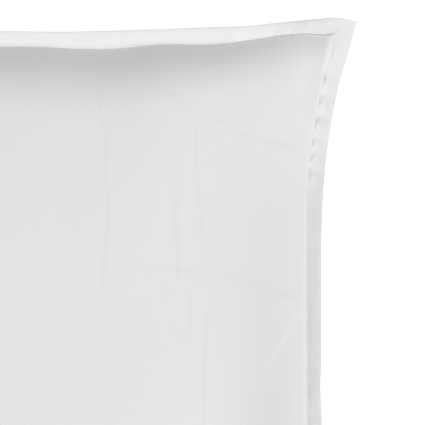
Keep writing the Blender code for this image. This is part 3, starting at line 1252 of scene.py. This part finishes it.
@dataclass
class Flange:
    """The flat border outside the stitch line: two layers, turned and pressed."""

    form: CaseForm
    finish: CottonPercale
    places: int = 1900
    shares: int = 12
    tucked_in: float = 0.0015  # how far it reaches in between the panels
    thin: float = 0.0008  # the two layers alone
    thick: float = 0.0010  # at its outer edge, where the turned-in seam lies
    edge_start: float = 0.55  # the share of its width from which that thickens it
    edge_run: float = 0.2  # and over which
    rounded_from: float = 0.97  # the share from which its edge is rounded
    least_edge: float = 0.5  # what is left of its thickness squared, at the very edge
    curl_start: float = 1.6  # how much steeper it curls at the stitch line than on the whole
    drop_share: float = 0.5  # how much further the edge comes down where it curls less
    pucker_run: float = 0.012  # its width, as the puckers run out over it
    pucker_reach: float = 0.009
    scallop_out: float = 0.0048  # from the stitch line to where it stands up most
    scallop_width: float = 0.0030
    scallop_power: int = 60  # how closely a scallop keeps to its own edge
    crowding: float = 1.5  # of the cuts towards the outer edge
    stitched_at: float = 0.16  # the share of its width at which the stitches run
    stitch_samples: int = 6000
    cut: tuple[float, float] = (0.0135, 2.50)  # its width and its length round the case

    def ring(self, turn: Array) -> tuple[Array, Array]:
        """(u, v) all the way round the seam.

        Args:
            turn: From 0 to 1 round the seam, starting at the foot's left corner.

        Returns:
            The shares across and along.
        """
        widths = np.array([self.form.half_width, self.form.half_length] * 2)
        ends = np.concatenate(([0.0], np.cumsum(widths) / widths.sum()))
        u = np.interp(turn, ends, [-1, 1, 1, -1, -1])
        v = np.interp(turn, ends, [-1, -1, 1, 1, -1])
        return u, v

    def thickness(self, share: Array) -> Array:
        """How thick the flange is, from the stitch line (0) to its rounded outer edge (1).

        Args:
            share: Shares of the flange's width.

        Returns:
            The thickness at each share.
        """
        seam_inside = smooth((share - self.edge_start) / self.edge_run)
        body = self.thin + (self.thick - self.thin) * seam_inside
        over = np.clip((share - self.rounded_from) / (1 - self.rounded_from), 0, 1)
        return body * np.sqrt(np.maximum(1 - over**2, self.least_edge))

    def middle(self, u: Array, v: Array, share: Array) -> Array:
        """Points halfway through the flange's thickness.

        Args:
            u: Shares across, at the seam.
            v: Shares along.
            share: Shares of the flange's width.

        Returns:
            A row for each point.
        """
        inner = np.column_stack(self.form.plan(SEAM, u, v))
        outer = np.column_stack(self.form.plan(FLANGE_EDGE, u, v))
        out = outer - inner
        width = np.linalg.norm(out, axis=1)
        inner = inner - out / width[:, None] * self.tucked_in
        place = inner + (outer - inner) * share[:, None]
        open_share = np.clip(share, 0, 1)
        bend = self.form.waved(CURLS, self.form.curl_power, u, v)
        curl = self.form.by_edge(self.form.flange_curl, u, v) + bend
        curl *= self.curl_start - (self.curl_start - 1) * open_share
        z = self.form.stitch_height(u, v) + open_share * curl
        z += self.drop_share * open_share**2 * bend
        z += self.form.drawn_up(u, v, open_share * self.pucker_run, self.pucker_reach)
        z += self.scalloped(u, v, share * width)
        return np.column_stack((place, z))

    def scalloped(self, u: Array, v: Array, out: Array) -> Array:
        """How far the cloth between two puckers stands up, at distances from the stitch line."""
        lift = self.form.waved(SCALLOPS, self.scallop_power, u, v)
        return lift * bell(out - self.scallop_out, self.scallop_width)

    def stitch_line(self, face: Face) -> tuple[Array, Array]:
        """Where the stitches lie on one side of the flange, and which way it faces there.

        Args:
            face: The side.

        Returns:
            A row for each place, and one for each way.
        """
        turn = np.linspace(0, 1, self.stitch_samples) % 1.0
        share = np.full_like(turn, self.stitched_at)
        line = self.middle(*self.ring(turn), share)
        facing = np.tile((0.0, 0.0, float(face.value)), (len(turn), 1))
        return line + facing * self.thickness(share)[:, None] / 2, facing

    def build(self) -> bpy.types.Object:
        """Builds and dresses the flange.

        Returns:
            The piece.
        """
        mesh = block_mesh("flange_cloth", self.places, self.shares)
        even = mesh_points(mesh)
        turn = (even[:, 0] + 1) / 2
        share = 1 - ((1 - even[:, 1]) / 2) ** self.crowding
        u, v = self.ring(turn % 1.0)
        points = self.middle(u, v, share)
        side = np.where(even[:, 2] > HALFWAY_DOWN, 1, -1)
        points[:, 2] += side * self.thickness(share) / 2
        piece = make_piece("flange_cloth", mesh, points, points[:, :2])
        close_up(piece)
        piece.data.materials.append(self.finish.material())
        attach(piece, BODY)
        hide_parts("flange")
        return piece


@dataclass
class ClosureFlap:
    """The flap that the pillow is slid in past, where it shows below the back's hem."""

    form: CaseForm
    finish: CottonPercale
    columns: int = 90
    rows: int = 36
    behind_hem: float = 0.0006  # from the hem's edge to where it starts
    cut: tuple[float, float] = (0.50, 0.16)  # its width and its length, from seam to hem

    def build(self) -> bpy.types.Object:
        """Builds and dresses the flap.

        Returns:
            The piece.
        """
        mesh = block_mesh("closure_flap_cloth", self.columns, self.rows)
        even = mesh_points(mesh)
        u = Cuts(fine=0.0).places(even[:, 0])
        hem = (self.form.hem_place - self.behind_hem) / self.form.half_length
        v = -1 + (hem + 1) * (even[:, 1] + 1) / 2
        outside = even[:, 2] < HALFWAY_DOWN
        lift = self.form.flap_lift(v) + np.where(outside, 0.0, self.form.flap_thickness)
        points = self.form.back_inside(u, v, lift)
        cloth = np.column_stack(self.form.flat(u, v))
        piece = make_piece("closure_flap_cloth", mesh, points, cloth)
        piece.data.materials.append(self.finish.material())
        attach(piece, BODY)
        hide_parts("closure_flap")
        return piece


@dataclass
class Stitching:
    """A row of lockstitches along a line on the cloth."""

    name: str
    slot: str
    line: Array  # places on the cloth, a row for each
    facing: Array  # which way the cloth faces there
    finish: SewingThread
    pitch: float = 0.0030
    stitch: float = 0.0024
    thread: float = 0.00042
    facets: int = 6

    def straight_row(self, count: int) -> bpy.types.Mesh:
        """A straight row of stitches along X, the first one centred on the origin.

        Args:
            count: How many stitches.

        Returns:
            The row's mesh.
        """
        bm = bmesh.new()
        size = Matrix.Diagonal((self.stitch / 2, self.thread / 2, self.thread / 2, 1.0))
        bmesh.ops.create_uvsphere(
            bm,
            u_segments=self.facets,
            v_segments=self.facets // 2 + 1,
            radius=1.0,
            matrix=size @ Matrix.Rotation(math.pi / 2, 4, "Y"),
        )
        mesh = bpy.data.meshes.new("one_stitch")
        bm.to_mesh(mesh)
        bm.free()
        single = add_object("one_stitch", mesh)
        array = single.modifiers.new("row", "ARRAY")
        array.count = count
        array.use_relative_offset = False
        array.use_constant_offset = True
        array.constant_offset_displace = (self.pitch, 0, 0)
        depsgraph = bpy.context.evaluated_depsgraph_get()
        row = bpy.data.meshes.new_from_object(single.evaluated_get(depsgraph))
        bpy.data.objects.remove(single, do_unlink=True)
        return row

    def build(self) -> bpy.types.Object:
        """Builds and dresses the row, bent along its line.

        Returns:
            The piece.
        """
        steps = np.linalg.norm(np.diff(self.line, axis=0), axis=1)
        run = np.concatenate(([0.0], np.cumsum(steps)))
        count = int(run[-1] / self.pitch)
        row = self.straight_row(count)
        straight = mesh_points(row)
        at = (straight[:, 0] + self.pitch / 2) * run[-1] / (count * self.pitch)
        here = self.at(self.line, run, at)
        ahead = self.at(self.line, run, at + self.stitch / 4) - here
        up = self.at(self.facing, run, at)
        sideways = np.cross(up, ahead)
        sideways /= np.linalg.norm(sideways, axis=1, keepdims=True)
        points = here + straight[:, 1:2] * sideways + straight[:, 2:] * up
        piece = make_piece(self.name, row, points, points[:, :2])
        row.materials.append(self.finish.material())
        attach(piece, BODY)
        return piece

    def at(self, rows: Array, run: Array, distance: Array) -> Array:
        """Rows that are known along the line, at distances along it."""
        return np.column_stack([np.interp(distance, run, rows[:, axis]) for axis in range(3)])


# ---- Floor, light and camera ----


@dataclass
class Studio:
    """A plain pale floor, soft light from low on the right, and the camera over the corner."""

    paper: StudioPaper = StudioPaper()
    floor_half: float = 20.0
    floor_drop: float = 0.0006
    key_from: tuple[float, float, float] = (0.42, -0.61, 0.67)
    key_strength: float = 1.92
    key_softness: float = math.radians(35)
    fill_strength: float = 0.555
    floor_bounce: float = 0.40  # what the floor sends back up, even from under the case
    horizon: float = 0.05  # over which the one gives way to the other
    over: tuple[float, float] = (0.1456, 0.2282)  # the place that the camera hangs over
    frame_width: float = 0.3485
    frame_height: float = 0.040  # the height at which the frame has that width
    lens: float = 200.0
    sensor: float = 36.0

    def build(self) -> None:
        """Builds the floor, the lights and the camera."""
        self.add_floor()
        self.add_light()
        self.add_camera()
        bpy.context.scene.view_settings.view_transform = "Standard"

    def add_floor(self) -> None:
        """Lays the floor under the case."""
        bm = bmesh.new()
        bmesh.ops.create_grid(bm, x_segments=1, y_segments=1, size=self.floor_half)
        bmesh.ops.translate(bm, verts=bm.verts[:], vec=(0, 0, -self.floor_drop))
        mesh = bpy.data.meshes.new("studio_floor")
        bm.to_mesh(mesh)
        bm.free()
        mesh.materials.append(self.paper.material())
        floor = add_object("studio_floor", mesh)
        floor.visible_diffuse = False  # the world's lower half stands in for its bounce

    def add_light(self) -> None:
        """Adds the large soft key light and the even light all round."""
        key = bpy.data.lights.new("key_softbox", "SUN")
        key.energy = self.key_strength
        key.angle = self.key_softness
        lamp = add_object("key_softbox", key)
        lamp.rotation_mode = "QUATERNION"
        lamp.rotation_quaternion = Vector(self.key_from).to_track_quat("Z", "Y")
        world = bpy.data.worlds.new("studio_fill")
        world.use_nodes = True
        tree = world.node_tree
        tree.nodes.clear()
        towards = add_node(tree, "ShaderNodeTexCoord").outputs["Generated"]
        height = add_node(tree, "ShaderNodeSeparateXYZ", inputs={"Vector": towards})
        strength = add_node(
            tree,
            "ShaderNodeMapRange",
            inputs={
                "Value": height.outputs["Z"],
                "From Min": -self.horizon,
                "From Max": 0.0,
                "To Min": self.floor_bounce,
                "To Max": self.fill_strength,
            },
        )
        background = add_node(
            tree,
            "ShaderNodeBackground",
            inputs={"Color": (1.0, 1.0, 1.0, 1.0), "Strength": strength.outputs["Result"]},
        )
        add_node(
            tree, "ShaderNodeOutputWorld", inputs={"Surface": background.outputs["Background"]}
        )
        bpy.context.scene.world = world

    def add_camera(self) -> None:
        """Hangs the camera straight over the corner."""
        data = bpy.data.cameras.new("camera")
        data.lens = self.lens
        data.sensor_width = self.sensor
        camera = add_object("camera", data)
        height = self.frame_width * self.lens / self.sensor + self.frame_height
        camera.location = (*self.over, height)
        bpy.context.scene.camera = camera


def main() -> None:
    """Loads the frame, builds each piece on it, and sets the studio round it."""
    logging.basicConfig(level=logging.INFO, format="%(name)s: %(message)s")
    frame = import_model()
    LOG.info("frame loaded with nodes %s", ", ".join(sorted(frame["nodes"])))
    form = CaseForm()
    form.puckers = PUCKERS + LooseGathers().rows(form.half_width, form.half_length)
    case = FilledCase(form, CottonPercale("cotton_percale_panels"))
    flange = Flange(form, CottonPercale("cotton_percale_flange"))
    thread = SewingThread("core_spun_thread")
    parts = (
        case,
        flange,
        ClosureFlap(form, CottonPercale("cotton_percale_flap")),
        Stitching("upper_stitching", "flange", *flange.stitch_line(Face.FRONT), thread),
        Stitching("lower_stitching", "flange", *flange.stitch_line(Face.BACK), thread),
        Stitching("hem_stitching", "case_body", *case.hem_line(), thread),
    )
    for part in parts:
        piece = part.build()
        LOG.info("%s has %d faces", piece.name, len(piece.data.polygons))
    Studio().build()


if __name__ == "__main__":
    main()
